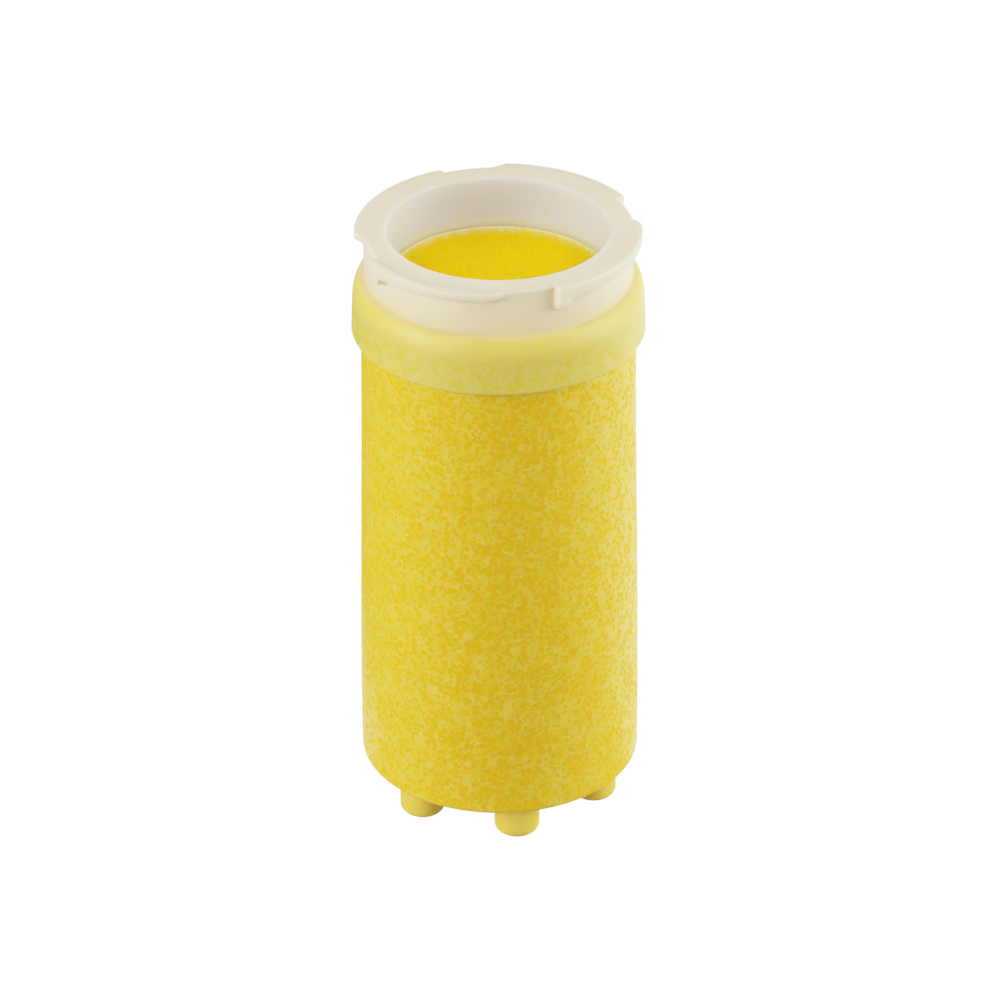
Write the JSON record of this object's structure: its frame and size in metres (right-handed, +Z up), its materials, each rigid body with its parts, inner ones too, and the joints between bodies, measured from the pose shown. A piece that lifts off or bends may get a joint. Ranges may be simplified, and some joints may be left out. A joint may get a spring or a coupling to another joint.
{
  "type": "sintered filter insert",
  "caption": "Rigid porous-plastic filter cup standing on pegs, with a translucent bayonet collar on its open end that locks it into a filter head.",
  "frame": {"origin": "middle of the plane that the pegs stand on, on the cup's axis", "axes": "+Z up along the cup's axis, from the pegs to the collar's rim; -Y faces the side seen first, with one peg 9.6 degrees to its right"},
  "size_m": [0.0364, 0.0364, 0.08],
  "materials": {
    "porous_plastic": "yellow sintered polyethylene, matte, with open pores",
    "collar_plastic": "natural milky polyethylene, satin, slightly translucent"
  },
  "bodies": {
    "root": {"filter_cup": "porous_plastic", "bayonet_collar": "collar_plastic"}
  },
  "joints": []
}
